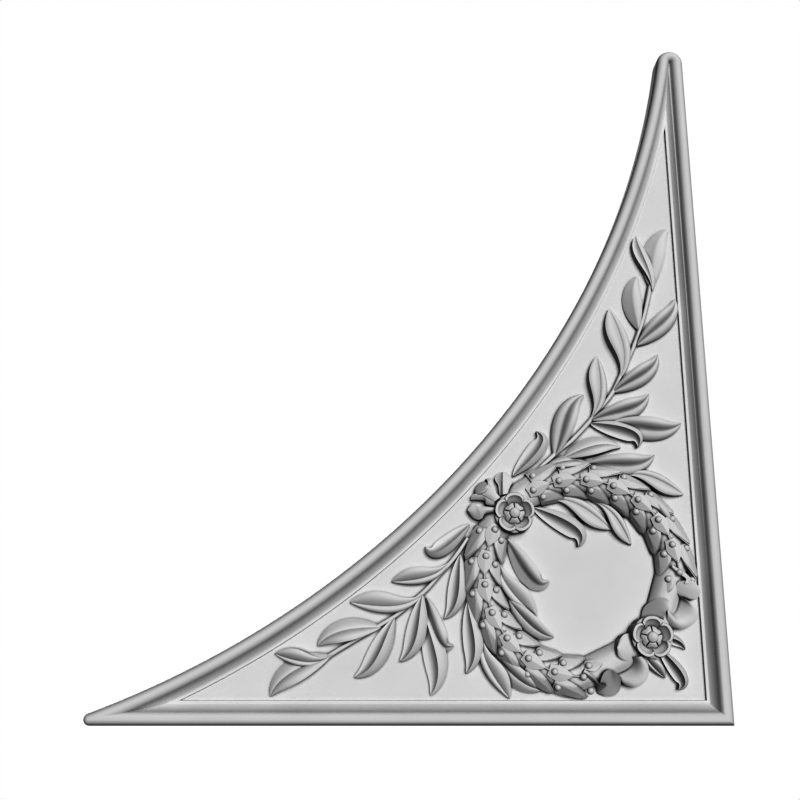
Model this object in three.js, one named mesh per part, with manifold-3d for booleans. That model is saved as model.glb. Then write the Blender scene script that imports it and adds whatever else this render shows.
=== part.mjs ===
// A carved wood corner applique: a moulded frame with one concave side, and a panel carved with two laurel
// sprays, a berried wreath, two rosettes and ribbons. Millimetres. The work is laid out flat, x to the
// right, y up the panel and z out of it, and the exported group stands it against a wall.
import * as THREE from "three";
import Module from "manifold-3d";

const wasm = await Module();
wasm.setup();
const { cos, sin, sqrt, hypot, atan2, PI } = Math;
const radians = THREE.MathUtils.degToRad;

// Outline. The origin is behind the middle of the wreath.
const wreathToRightEdge = 81.3;
const wreathToBottomEdge = 81.5;
const bottomLength = 360;
const rightHeight = 421;
const sweepRadius = 534;
const leftTipRadius = 3.3;
const topTipRadius = 8.2;
const sweepSteps = 34;
const tipSteps = 10;

// Section of the frame, from its outer edge inwards.
const outerWall = 10.7;
const beadRadius = 3.8;
const steepestSlope = radians(65);
const hollowRadius = 10.8;
const hollowEndSlope = radians(34);
const filletRadius = 2.2;
const ledgeWidth = 0.9;
const rebateLip = 3.3;

// Panel. The relief stands on its ground.
const groundHeight = 5;
const fitGap = 0.3;
const reliefRoot = 2;
const reliefTop = 60;
const mergeTolerance = 0.2;
const seamTolerance = 0.04;

// The leaves, stems, ribbons and the wreath's section are drawn in this unit, from behind the wreath's
// middle.
const drawingUnit = 1;
const drawn = (point) => point.map((value) => value * drawingUnit);

// Wreath.
const ringRadius = 55.5;
const ringSteps = 24;
const coreDepth = 0.8;
const barCorner = drawn([33, -28.6]);
const barFrom = 9.5;
const barTo = 266.5;
const berryStep = 16.6;
const berriesPerRow = 8;
const berryRadius = 2;
const rosetteRadius = 11.8;
const rosetteTop = 14.6;
const upperRosette = drawn([-37.5, 35.5]);
const lowerRosette = drawn([37.5, -34]);
const diagonal = 135;

// The section of the wreath, by the angle over it: aside of the ring's middle line, and the height.
const ringSection = [
  { over: 0, aside: 10.6, height: 0 },
  { over: 20, aside: 10.6, height: 3.6 },
  { over: 38, aside: 8.2, height: 5.9 },
  { over: 60, aside: 5, height: 8.8 },
  { over: 90, aside: 0, height: 9.6 },
  { over: 118, aside: -5, height: 8.2 },
  { over: 140, aside: -8.2, height: 6.5 },
  { over: 160, aside: -10, height: 4.2 },
  { over: 180, aside: -10, height: 0 },
];

// Rows of the garland. A leaf's low edge, crease, high edge and tip are angles over the section. It begins
// and ends by angles round the ring past its berry. Berry and above are the first berry's angles, from the
// upper rosette and over the section. At
// each station a leaf has a share of its spread, and its edges and its crease stand over the core.
const garlandRows = [
  { low: 3, crease: 58, high: 77, tip: 30, start: -2.5, length: 17.4, berry: 21, above: 47, leaves: 7 },
  { low: 177, crease: 141, high: 104, tip: 150, start: -2.5, length: 17.2, berry: 21, above: 125, leaves: 8 },
  { low: 66, crease: 90, high: 114, tip: 90, start: -3.4, length: 13.4, berry: 17, above: 90, leaves: 7 },
];
const scaleStations = [
  { at: 0, spread: 0.8, edge: 0.5, crease: 0.5 },
  { at: 0.55, spread: 1, edge: 1.1, crease: 1.9 },
  { at: 1, spread: 0, edge: 1.6, crease: 1.6 },
];

// Leaves. Bow and lean are where the midrib's two pull points lie, as shares of the leaf's length, and the
// heights are of its midrib at base, middle and tip. Each half runs from the midrib to its rim: its width
// and where that is widest as shares of the length, how far the rim stands over the midrib, and the slopes
// at the midrib and at the rim over the half's width.
const leafKinds = {
  ridge: {
    bow: [0.25, -0.2],
    lean: [0.6, -0.12],
    heights: [2.8, 5.4, 3],
    near: { width: 0.182, widest: 0.69, rise: 2.5, first: 8, last: -4.5 },
    far: { width: 0.094, widest: 0.56, rise: -0.8, first: 2.4, last: -6 },
  },
  channel: {
    bow: [0.33, -0.03],
    lean: [0.72, -0.24],
    heights: [3.6, 8.2, 3.2],
    near: { width: 0.158, widest: 0.53, rise: -4.5, first: -15.5, last: 0.3 },
    far: { width: 0.133, widest: 0.47, rise: -3.8, first: -2.6, last: -6.5 },
  },
  lapped: {
    bow: [0.33, -0.03],
    lean: [0.72, -0.24],
    heights: [3, 6.2, 3.2],
    near: { width: 0.165, widest: 0.53, rise: 4.2, first: 19, last: -5.5 },
    far: { width: 0.138, widest: 0.47, rise: -4.4, first: -4, last: -12 },
  },
  open: {
    bow: [0.3, -0.08],
    lean: [0.72, -0.2],
    heights: [3, 5.8, 2.6],
    near: { width: 0.166, widest: 0.52, rise: 4, first: 13, last: -2 },
    far: { width: 0.16, widest: 0.51, rise: -4.2, first: 0, last: -6.5 },
  },
  folded: {
    bow: [0.3, -0.08],
    lean: [0.72, -0.2],
    heights: [2.8, 5.6, 2.4],
    near: { width: 0.166, widest: 0.52, rise: -1.2, first: 1.5, last: -5 },
    far: { width: 0.16, widest: 0.51, rise: -4.8, first: -5, last: -6 },
  },
  slim: {
    bow: [0.3, -0.1],
    lean: [0.75, 0.06],
    heights: [3.2, 5.8, 3.6],
    near: { width: 0.115, widest: 0.66, rise: -1.6, first: -6, last: 1 },
    far: { width: 0.105, widest: 0.42, rise: -2, first: -1, last: -6 },
  },
  hook: {
    bow: [0.33, -0.12],
    lean: [1.02, -0.4],
    heights: [3.4, 8.8, 5.4],
    near: { width: 0.203, widest: 0.49, rise: -5, first: -17.5, last: 0.5 },
    far: { width: 0.13, widest: 0.55, rise: -3.6, first: -3, last: -5 },
  },
  scoop: {
    bow: [0.33, -0.12],
    lean: [1.02, -0.4],
    heights: [2.8, 4.4, 3.6],
    near: { width: 0.203, widest: 0.49, rise: 4.6, first: 19, last: -2 },
    far: { width: 0.13, widest: 0.55, rise: -3.4, first: -3.6, last: -3.6 },
  },
};

// Each leaf runs from its base to its tip, with the near half to the left of that way or, turned, to the
// right. A raised leaf lies over its neighbours.
const upperSpray = {
  stem: [
    [-24, 60],
    [-10, 73],
    [0, 81],
    [10.5, 92],
    [18.5, 101.5],
    [25.5, 110.5],
    [32, 123.5],
    [39, 138],
    [44, 150],
    [49, 166],
    [52, 178],
  ],
  leaves: [
    { kind: "folded", from: [52.5, 176], to: [65.5, 216], turned: true },
    { kind: "slim", from: [52.3, 174], to: [44.5, 210.5], raised: 1 },
    { kind: "folded", from: [43, 149], to: [44.5, 184.5], turned: true },
    { kind: "lapped", from: [41, 139], to: [66.5, 169.5] },
    { kind: "ridge", from: [28, 116], to: [25.5, 163] },
    { kind: "lapped", from: [25, 109.5], to: [53.5, 133.5] },
    { kind: "ridge", from: [9, 92], to: [16.5, 132.5] },
    { kind: "lapped", from: [21, 90.5], to: [65, 90.5], raised: -0.6 },
    { kind: "lapped", from: [11, 92], to: [46.5, 108.5], raised: 0.8 },
    { kind: "hook", from: [10, 90.5], to: [37.5, 75.5], turned: true },
    { kind: "lapped", from: [-12, 70], to: [7.5, 108], turned: true },
    { kind: "hook", from: [-37, 58], to: [-22.5, 85] },
    { kind: "open", from: [-7, 69], to: [28, 75.5], turned: true },
    { kind: "open", from: [-18, 64], to: [8.5, 65], turned: true },
  ],
};
const leftSpray = {
  stem: [
    [-64, 22],
    [-72.5, 10],
    [-80, 2],
    [-88, -7],
    [-96, -14],
    [-106, -22],
    [-115, -27.5],
    [-128, -35],
    [-140, -42],
    [-144.5, -45],
  ],
  leaves: [
    { kind: "open", from: [-142, -44], to: [-176.5, -66.5] },
    { kind: "ridge", from: [-141.5, -43.5], to: [-174.5, -43], turned: true, raised: 1 },
    { kind: "open", from: [-114, -28.5], to: [-150.5, -39] },
    { kind: "channel", from: [-106.5, -23], to: [-129.5, -56], turned: true },
    { kind: "ridge", from: [-89.5, -9], to: [-132.5, -14.5], turned: true },
    { kind: "channel", from: [-89.5, -20], to: [-86.5, -66], turned: true, raised: -0.8 },
    { kind: "channel", from: [-90.5, -10], to: [-104, -47.5], turned: true, raised: 0.6 },
    { kind: "ridge", from: [-74.5, 9.5], to: [-108.5, -3], turned: true },
    { kind: "scoop", from: [-88.5, -12], to: [-73, -38.5] },
    { kind: "hook", from: [-62.5, 30], to: [-89, 17], turned: true },
    { kind: "channel", from: [-68.5, 13], to: [-78.5, -24], turned: true },
  ],
};
const wreathLeaves = [
  { kind: "lapped", from: [5.5, 65], to: [47.5, 71], raised: 1 },
  { kind: "lapped", from: [35.5, 52], to: [59, 27.5], raised: -0.8 },
  { kind: "ridge", from: [27.5, 58], to: [63.5, 47.5], turned: true },
  { kind: "channel", from: [-65, -14], to: [-66.5, -54], turned: true, raised: 1 },
  { kind: "ridge", from: [-56, -31], to: [-42, -67.5] },
  { kind: "open", from: [-51.5, -42], to: [-23, -62.5], raised: -0.8 },
  { kind: "scoop", from: [-42, 22], to: [-17.5, -2.5] },
  { kind: "ridge", from: [-46.5, 12], to: [-25.5, -23] },
  { kind: "open", from: [-41.5, -13], to: [-16, -34] },
  { kind: "hook", from: [-26, 40], to: [-0.5, 17], turned: true },
  { kind: "ridge", from: [-17, 44], to: [20, 27], turned: true },
  { kind: "ridge", from: [9, 43.5], to: [31, 18], turned: true, raised: -0.8 },
  { kind: "channel", from: [40, -32], to: [58, -41], turned: true },
  { kind: "hook", from: [43, -40], to: [52, -62.5], turned: true },
  { kind: "ridge", from: [34, -38], to: [46, -56.5], raised: -1 },
];
const leafSteps = 5;
const leastRelief = 0.5;
const stemWidth = 3;
const stemHeight = 3.8;

// Ribbons, as bands between two edges. An edge's points are x, y and the height over the ground, and the
// fold is how far the band's middle stands over its edges.
const bowBands = [
  {
    left: [[-45.4, 46.2, 6.5], [-46, 52.6, 6], [-47.6, 55.7, 5], [-45.2, 60.2, 6]],
    right: [[-43.6, 46.3, 9], [-43.5, 51.3, 8.5], [-43.3, 55.9, 8], [-43, 59.9, 7.5]],
    fold: -0.4,
  },
  {
    left: [[-44, 46.3, 10.5], [-43.9, 51.3, 10.5], [-43.7, 55.9, 10], [-43.4, 60, 9]],
    right: [[-40.6, 46.6, 10], [-38.8, 52.1, 9.5], [-37.7, 54.7, 9], [-41.9, 60.1, 8.5]],
    fold: 0.4,
  },
  {
    left: [[-49, 42, 9.5], [-53.3, 45.3, 9.5], [-57.2, 47.2, 8.5]],
    right: [[-45.1, 44.8, 10], [-47.8, 48, 10.5], [-50.4, 54.3, 10.5]],
    fold: 0.7,
  },
  {
    left: [[-53, 49, 9.5], [-52.4, 53.5, 10.5], [-53.3, 56, 8]],
    right: [[-47.6, 48, 10], [-49, 53, 10], [-49.5, 57, 8]],
    fold: 0.5,
  },
  {
    left: [[-48.8, 39.7, 8], [-53.3, 41.1, 7], [-58.4, 43.9, 6], [-62.1, 44, 5]],
    right: [[-48.6, 43, 9.5], [-52, 45, 9], [-59.3, 47.4, 7.5], [-61.7, 46.8, 6]],
    fold: 0.5,
  },
  {
    left: [[-48.4, 36.3, 9], [-55.9, 32.9, 7.5], [-58.3, 32.2, 6.5], [-64.1, 37, 5]],
    right: [[-48.4, 39.2, 9], [-58.2, 40, 8], [-59.8, 41.6, 7], [-64.2, 38.9, 5]],
    fold: 1.4,
  },
];
const tailBands = [
  {
    left: [[34.2, -24, 2.5], [35.4, -18.3, 3.5], [43.5, -12.4, 9], [47.3, -13.2, 11]],
    right: [[44.5, -27, 9], [45, -22.5, 11.5], [47.5, -17.5, 13.4], [49, -15.5, 12.5]],
    fold: 0.8,
  },
  {
    left: [[46.8, -14.5, 10.5], [51, -20, 4], [54.3, -15.3, 1.5], [55.5, -11, 2]],
    right: [[47.5, -27, 6], [56.5, -29.6, 7], [65.2, -21.3, 8.5], [59.5, -13.5, 8]],
    fold: 2.8,
  },
  {
    left: [[58.5, -13.2, 5], [54.3, -9.7, 6.5], [55, -3.3, 9], [57.6, -2.7, 10]],
    right: [[60, -12.9, 7], [66.3, -11.2, 9.5], [67, -8.7, 10], [63, -2.9, 10]],
    fold: 0.3,
  },
  {
    left: [[58, -4.5, 10.5], [59, -1.8, 10.3], [54.8, 1.2, 10.8], [50.7, 4.9, 11.5]],
    right: [[64.5, -4, 8.5], [60.4, 0.7, 9.5], [56.1, 3.4, 10.6], [51.8, 5.8, 11.5]],
    fold: 0.4,
  },
  {
    left: [[28.8, -45.2, 7], [24.4, -46.7, 9], [17.9, -44, 11], [17.2, -41, 11]],
    right: [[28.5, -32.5, 6], [25, -31.9, 8], [19.5, -35.2, 10.5], [17.6, -38.6, 11]],
    fold: 1.8,
  },
  {
    left: [[33.1, -44, 9], [34.5, -55.3, 9], [27.2, -61.3, 7.5], [19.9, -58.2, 3.5]],
    right: [[26.5, -45, 9], [25.4, -50, 3], [22.2, -51.8, 2], [17.5, -53.8, 1]],
    fold: 2.8,
  },
  {
    left: [[20.5, -61.4, 1.5], [19, -64, 1], [11.8, -66.3, 0.8], [7.5, -64.8, 1]],
    right: [[19.5, -55.8, 10.5], [15.4, -53, 13.6], [9.1, -53.3, 13.2], [7.6, -57.6, 10.5]],
    fold: 0.3,
  },
  {
    left: [[7.5, -64.8, 1], [5.9, -60.2, 6.5], [1.4, -56, 9], [-2.1, -53.3, 10.6]],
    right: [[11.5, -60, 10], [7.6, -59.2, 10.5], [4.4, -55.8, 11], [-0.9, -51.3, 11]],
    fold: 0.4,
  },
];

// A closed solid from rings of points, each joined to the next. Points that fall together are made one, and
// the faces that this flattens are left out.
function solidFromFaces(points, quads) {
  const index = new Map();
  const vertices = [];
  const number = points.map((p) => {
    const key = p.map((v) => Math.round(v * 5000)).join();
    if (!index.has(key)) {
      index.set(key, vertices.length / 3);
      vertices.push(...p);
    }
    return index.get(key);
  });
  const triangles = [];
  for (const [a, b, c, d] of quads) {
    for (const t of [[a, b, c], [a, c, d]]) {
      const [i, j, k] = t.map((n) => number[n]);
      if (i !== j && j !== k && k !== i) triangles.push(i, j, k);
    }
  }
  const mesh = new wasm.Mesh({
    numProp: 3,
    vertProperties: new Float32Array(vertices),
    triVerts: new Uint32Array(triangles),
  });
  const solid = new wasm.Manifold(mesh);
  return solid;
}

function geometryOf(solid) {
  const mesh = solid.getMesh();
  const count = mesh.numVert;
  const positions = new Float32Array(count * 3);
  for (let i = 0; i < count; i++) {
    positions.set(mesh.vertProperties.subarray(i * mesh.numProp, i * mesh.numProp + 3), i * 3);
  }
  const geometry = new THREE.BufferGeometry();
  geometry.setAttribute("position", new THREE.BufferAttribute(positions, 3));
  geometry.setIndex(new THREE.BufferAttribute(mesh.triVerts, 1));
  geometry.computeVertexNormals();
  return geometry;
}

// The sweep's centre is where both rounded tips touch it.
const corner = [wreathToRightEdge, -wreathToBottomEdge];
const leftTip = [corner[0] - bottomLength + leftTipRadius, corner[1] + leftTipRadius];
const topTip = [corner[0] - topTipRadius, corner[1] + rightHeight - topTipRadius];
const sweepCentre = (() => {
  const reachLeft = sweepRadius + leftTipRadius;
  const reachTop = sweepRadius + topTipRadius;
  const [dx, dy] = [topTip[0] - leftTip[0], topTip[1] - leftTip[1]];
  const apart = hypot(dx, dy);
  const along = (apart ** 2 + reachLeft ** 2 - reachTop ** 2) / (2 * apart);
  const aside = sqrt(reachLeft ** 2 - along ** 2);
  return [leftTip[0] + (dx * along - dy * aside) / apart, leftTip[1] + (dy * along + dx * aside) / apart];
})();

// The outline, moved inwards by a distance: always the same number of points, anticlockwise from the
// corner.
function outlineAt(inset) {
  const [right, bottom] = [corner[0] - inset, corner[1] + inset];
  const radius = sweepRadius + inset;
  const sharpLeft = [sweepCentre[0] + sqrt(radius ** 2 - (sweepCentre[1] - bottom) ** 2), bottom];
  const sharpTop = [right, sweepCentre[1] - sqrt(radius ** 2 - (right - sweepCentre[0]) ** 2)];
  const toCentre = (p) => atan2(sweepCentre[1] - p[1], sweepCentre[0] - p[0]);
  const tip = (centre, tipRadius, from, sharp) => {
    const left = tipRadius - inset;
    if (left <= 0) return Array(tipSteps + 1).fill(sharp);
    const to = (toCentre(centre) + 2 * PI) % (2 * PI);
    return Array.from({ length: tipSteps + 1 }, (_, i) => {
      const turn = from + ((to - from) * i) / tipSteps;
      return [centre[0] + left * cos(turn), centre[1] + left * sin(turn)];
    });
  };
  const top = tip(topTip, topTipRadius, 0, sharpTop);
  const left = tip(leftTip, leftTipRadius, 1.5 * PI, sharpLeft).reverse();
  const around = (p) => atan2(p[1] - sweepCentre[1], p[0] - sweepCentre[0]);
  const [start, end] = [around(top.at(-1)), around(left[0])];
  const sweep = Array.from({ length: sweepSteps - 1 }, (_, i) => {
    const turn = start + ((end - start) * (i + 1)) / sweepSteps;
    return [sweepCentre[0] + radius * cos(turn), sweepCentre[1] + radius * sin(turn)];
  });
  return [[right, bottom], ...top, ...sweep, ...left];
}

// Bead, hollow, fillet and ledge as inset and height, then down the step, under the rebate's lip and round
// the back.
function frameSection() {
  const beadSteps = 7;
  const beadEnd = PI / 2 + steepestSlope;
  const points = Array.from({ length: beadSteps + 1 }, (_, i) => {
    const turn = (beadEnd * i) / beadSteps;
    return [beadRadius * (1 - cos(turn)), outerWall + beadRadius * sin(turn)];
  });
  const hollowOut = (radius, steep, shallow, steps) => {
    const [inset, height] = points.at(-1);
    for (let i = 1; i <= steps; i++) {
      const slope = steep + ((shallow - steep) * i) / steps;
      points.push([inset + radius * (sin(steep) - sin(slope)), height - radius * (cos(slope) - cos(steep))]);
    }
  };
  hollowOut(hollowRadius, steepestSlope, hollowEndSlope, 3);
  hollowOut(filletRadius, hollowEndSlope, 0, 2);
  const [curveEnd, ledgeHeight] = points.at(-1);
  const fieldInset = curveEnd + ledgeWidth;
  const rebateInset = fieldInset - rebateLip;
  const lipHeight = groundHeight + fitGap;
  return {
    fieldInset,
    rebateInset,
    points: [
      [0, 0],
      ...points,
      [fieldInset, ledgeHeight],
      [fieldInset, lipHeight],
      [rebateInset, lipHeight],
      [rebateInset, 0],
    ],
  };
}

const section = frameSection();

function frameSolid() {
  const rings = section.points.map(([inset, height]) => outlineAt(inset).map(([x, y]) => [x, y, height]));
  const count = rings[0].length;
  const quads = [];
  rings.forEach((_, i) => {
    const next = (i + 1) % rings.length;
    for (let j = 0; j < count; j++) {
      const after = (j + 1) % count;
      quads.push([i * count + j, i * count + after, next * count + after, next * count + j]);
    }
  });
  return solidFromFaces(rings.flat(), quads);
}

function prism(outline, low, high) {
  const shape = new THREE.Shape(outline.map(([x, y]) => new THREE.Vector2(x, y)));
  const geometry = new THREE.ExtrudeGeometry(shape, { depth: high - low, bevelEnabled: false });
  return solidOfGeometry(geometry.translate(0, 0, low));
}

function solidOfGeometry(geometry) {
  const loose = geometry.index ? geometry.toNonIndexed() : geometry;
  const position = loose.getAttribute("position");
  const points = Array.from({ length: position.count }, (_, i) => [
    position.getX(i),
    position.getY(i),
    position.getZ(i),
  ]);
  const count = position.count / 3;
  const faces = Array.from({ length: count }, (_, i) => [3 * i, 3 * i + 1, 3 * i + 2, 3 * i + 2]);
  return solidFromFaces(points, faces);
}

// Whether rows of a form go from its left edge to its right, as seen along the form.
function runsRightwards(rows) {
  let turn = 0;
  for (let i = 0; i + 1 < rows.length; i++) {
    const [start, end] = [rows[i][0], rows[i].at(-1)];
    const ahead = rows[i + 1][Math.floor(rows[i].length / 2)];
    turn += (end[0] - start[0]) * (ahead[1] - start[1]) - (end[1] - start[1]) * (ahead[0] - start[0]);
  }
  return turn > 0;
}

// A carved form: a grid of points over the ground, in rows from its base to its end, with walls from its
// rim down into the board.
function carvedForm(grid) {
  const rows = runsRightwards(grid) ? grid.map((row) => [...row].reverse()) : grid;
  const across = rows[0].length;
  const root = ([x, y]) => [x, y, groundHeight - reliefRoot];
  const top = rows.flat().map(([x, y, height]) => [x, y, groundHeight + height]);
  const rootAt = (i, side) => top.length + 2 * i + side;
  const roots = rows.flatMap((row) => [root(row[0]), root(row.at(-1))]);
  const at = (i, j) => i * across + j;
  const quads = [];
  for (let i = 0; i + 1 < rows.length; i++) {
    for (let j = 0; j + 1 < across; j++) {
      quads.push([at(i, j), at(i + 1, j), at(i + 1, j + 1), at(i, j + 1)]);
    }
    quads.push([rootAt(i, 0), rootAt(i + 1, 0), at(i + 1, 0), at(i, 0)]);
    quads.push([at(i, across - 1), at(i + 1, across - 1), rootAt(i + 1, 1), rootAt(i, 1)]);
    quads.push([rootAt(i, 1), rootAt(i + 1, 1), rootAt(i + 1, 0), rootAt(i, 0)]);
  }
  for (const [i, flip] of [[0, false], [rows.length - 1, true]]) {
    for (let j = 0; j + 1 < across; j++) {
      const last = j ? rootAt(i, 1) : rootAt(i, 0);
      const quad = [at(i, j), at(i, j + 1), rootAt(i, 1), last];
      quads.push(flip ? quad.reverse() : quad);
    }
  }
  const solid = solidFromFaces([...top, ...roots], quads);
  return solid;
}

// A leaf's half width as a share of its widest, along its length.
const swell = (s, widest) => sin(PI * s ** (Math.log(0.5) / Math.log(widest))) ** 0.8;

// Height over the midrib, from the midrib to the rim, for the slopes at both.
function halfSection(t, { rise, first, last }) {
  return rise * (3 * t ** 2 - 2 * t ** 3) + first * (t - 2 * t ** 2 + t ** 3) + last * (t ** 3 - t ** 2);
}

function leaf({ kind, from, to, turned = false, raised = 0 }) {
  const form = leafKinds[kind];
  const hand = turned ? -1 : 1;
  const [start, end] = [drawn(from), drawn(to)];
  const [dx, dy] = [end[0] - start[0], end[1] - start[1]];
  const place = (u, v) => [start[0] + dx * u - dy * v * hand, start[1] + dy * u + dx * v * hand];
  const midrib = new THREE.CubicBezierCurve(
    new THREE.Vector2(0, 0),
    new THREE.Vector2(...form.bow),
    new THREE.Vector2(...form.lean),
    new THREE.Vector2(1, 0),
  );
  const [base, middle, tip] = form.heights;
  const bent = 2 * middle - (base + tip) / 2;
  const rows = Array.from({ length: leafSteps + 1 }, (_, i) => {
    const s = i / leafSteps;
    const point = midrib.getPoint(s);
    const way = midrib.getTangent(s);
    const height = base * (1 - s) ** 2 + bent * 2 * s * (1 - s) + tip * s ** 2 + raised;
    return [-1, -0.5, 0, 0.5, 1].map((t) => {
      const half = t > 0 ? form.near : form.far;
      const share = swell(s, half.widest);
      const out = t * half.width * share;
      const [x, y] = place(point.x - way.y * out, point.y + way.x * out);
      return [x, y, Math.max(leastRelief, height + halfSection(Math.abs(t), half) * share) * drawingUnit];
    });
  });
  return carvedForm(rows);
}

function stem(points) {
  const curve = new THREE.CatmullRomCurve3(points.map((p) => new THREE.Vector3(...drawn(p), 0)));
  const steps = points.length + 1;
  const rows = Array.from({ length: steps + 1 }, (_, i) => {
    const at = curve.getPointAt(i / steps);
    const way = curve.getTangentAt(i / steps);
    return [-1, -0.6, 0.6, 1].map((t) => {
      const out = (t * stemWidth) / 2;
      return [at.x - way.y * out, at.y + way.x * out, stemHeight * (Math.abs(t) < 1 ? 1 : 0.5)];
    });
  });
  return carvedForm(rows);
}

// A place on the wreath, by its angle round the ring and its angle over the ring's section.
function onRing(around, over, out = 0) {
  const angle = Math.min(Math.max(over, 0), 180);
  const next = ringSection.findIndex((station, i) => i > 0 && angle <= station.over);
  const [low, high] = [ringSection[next - 1], ringSection[next]];
  const share = (angle - low.over) / (high.over - low.over);
  const between = (key) => (low[key] + (high[key] - low[key]) * share) * drawingUnit;
  const reach = ringRadius + between("aside") + out * cos(radians(angle));
  return [
    reach * cos(radians(around)),
    reach * sin(radians(around)),
    groundHeight + Math.max(0, between("height") + out * sin(radians(angle))),
  ];
}

// The ring's core: round on most of the way, and two straight bars where the lower rosette covers it.
function ringCore() {
  const overs = [0, 20, 60, 90, 118, 140, 160, 180];
  const innerFoot = onRing(0, 180)[0];
  const cornerReach = hypot(...barCorner);
  const cornerTurn = atan2(barCorner[1], barCorner[0]);
  const spokes = Array.from({ length: ringSteps + 1 }, (_, i) => {
    const turn = barFrom + ((barTo - barFrom) * i) / ringSteps;
    return overs.map((over) => onRing(turn, over, -coreDepth));
  });
  spokes.push(
    overs.map((over) => {
      const [x, , height] = onRing(0, over, -coreDepth);
      const reach = cornerReach + x - innerFoot;
      return [reach * cos(cornerTurn), reach * sin(cornerTurn), height];
    }),
  );
  const low = groundHeight - reliefRoot;
  const sunk = ([x, y]) => [x, y, low];
  const rings = spokes.map((spoke) => [sunk(spoke[0]), ...spoke, sunk(spoke.at(-1))]);
  const count = rings[0].length;
  const quads = [];
  rings.forEach((_, i) => {
    const next = (i + 1) % rings.length;
    for (let j = 0; j < count; j++) {
      const after = (j + 1) % count;
      quads.push([i * count + j, next * count + j, next * count + after, i * count + after]);
    }
  });
  return solidFromFaces(rings.flat(), quads);
}

// One leaf of the garland, creased along its middle, lying on the ring and lifted at its pointed tip.
function scale(side, row, berry) {
  const rows = scaleStations.map((station) => {
    const turn = diagonal + side * (berry + row.start + row.length * station.at);
    return [row.low, row.crease, row.high].map((over, i) => {
      const lift = (i === 1 ? station.crease : station.edge) * drawingUnit;
      const [x, y, z] = onRing(turn, row.tip + (over - row.tip) * station.spread, lift);
      return [x, y, z - groundHeight];
    });
  });
  return carvedForm(rows);
}

// A round knob that stands on the board, by its middle's place and its radius.
function knob([x, y, z], radius, sides) {
  const low = groundHeight - reliefRoot;
  const dome = [0, 50, 90].map((over) => [radius * cos(radians(over)), z + radius * sin(radians(over))]);
  const outline = [[0, low], [radius, low], ...dome].map((p) => new THREE.Vector2(...p));
  return solidOfGeometry(new THREE.LatheGeometry(outline, sides).rotateX(PI / 2).translate(x, y, 0));
}

function garland() {
  const forms = [];
  for (const row of garlandRows) {
    for (const side of [1, -1]) {
      for (let i = 0; i < berriesPerRow; i++) {
        const berry = row.berry + berryStep * i;
        if (i < row.leaves) forms.push(scale(side, row, berry));
        forms.push(knob(onRing(diagonal + side * berry, row.above, berryRadius / 2), berryRadius, 5));
      }
    }
  }
  return forms;
}

// A rosette: five cupped petals with a raised rim, five small ones inside them and a button.
function rosette([x, y]) {
  const forms = [];
  const petal = (turn, halfTurn, stations) => {
    const rows = stations.map(([share, spread, fall]) => {
      const reach = rosetteRadius * share;
      return [-1, 0, 1].map((t) => {
        const at = radians(turn + t * halfTurn * spread);
        return [x + reach * cos(at), y + reach * sin(at), rosetteTop - fall * drawingUnit];
      });
    });
    forms.push(carvedForm(rows));
  };
  for (let i = 0; i < 5; i++) {
    petal(90 + 72 * i, 35, [[0.1, 0.9, 5.2], [0.5, 1, 5], [0.89, 1, 0], [1, 0.7, 0.9]]);
    petal(54 + 72 * i, 31, [[0.1, 1, 1.6], [0.5, 1, 3.8], [0.54, 1, 4.9]]);
  }
  const buttonRadius = 3.1 * drawingUnit;
  const buttonTop = groundHeight + rosetteTop + 0.75 * drawingUnit;
  forms.push(knob([x, y, buttonTop - buttonRadius], buttonRadius, 8));
  return forms;
}

function band({ left, right, fold }) {
  const edge = (points) => new THREE.CatmullRomCurve3(points.map((p) => new THREE.Vector3(...drawn(p))));
  const [first, second] = [edge(right), edge(left)];
  const steps = 4;
  const rows = Array.from({ length: steps + 1 }, (_, i) => {
    const [a, b] = [first.getPoint(i / steps), second.getPoint(i / steps)];
    return [0, 0.33, 0.67, 1].map((t) => {
      const p = a.clone().lerp(b, t);
      return [p.x, p.y, p.z + fold * drawingUnit * 4 * t * (1 - t)];
    });
  });
  return carvedForm(rows);
}

function relief() {
  const forms = [
    ...[upperSpray, leftSpray].map((spray) => stem(spray.stem)),
    ...[...upperSpray.leaves, ...leftSpray.leaves, ...wreathLeaves].map(leaf),
    ringCore(),
    ...garland(),
    ...[...bowBands, ...tailBands].map(band),
    ...rosette(upperRosette),
    ...rosette(lowerRosette),
  ];
  const field = prism(outlineAt(section.fieldInset + fitGap), groundHeight - reliefRoot, reliefTop);
  return wasm.Manifold.union(forms).asOriginal().simplify(mergeTolerance).intersect(field);
}

// The board with its relief. Crumbs that the trimming at the field's edge leaves loose are dropped.
function panelSolid() {
  const board = prism(outlineAt(section.rebateInset + fitGap), 0, groundHeight);
  const bodies = board.add(relief()).asOriginal().simplify(seamTolerance).decompose();
  return bodies.sort((a, b) => b.volume() - a.volume())[0];
}

function part(name, solid, material) {
  const mesh = new THREE.Mesh(geometryOf(solid), material);
  mesh.name = name;
  return mesh;
}

const paintedWood = new THREE.MeshStandardMaterial({ color: 0xababab, roughness: 0.55, metalness: 0 });
const applique = new THREE.Group();
applique.add(part("frame", frameSolid(), paintedWood));
applique.add(part("carved_panel", panelSolid(), paintedWood.clone()));
applique.rotation.x = PI / 2;

export default applique;
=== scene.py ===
from math import atan2, cos, hypot, log, pi, radians, sin, sqrt

import bpy
from mathutils import Matrix, Vector


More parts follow.
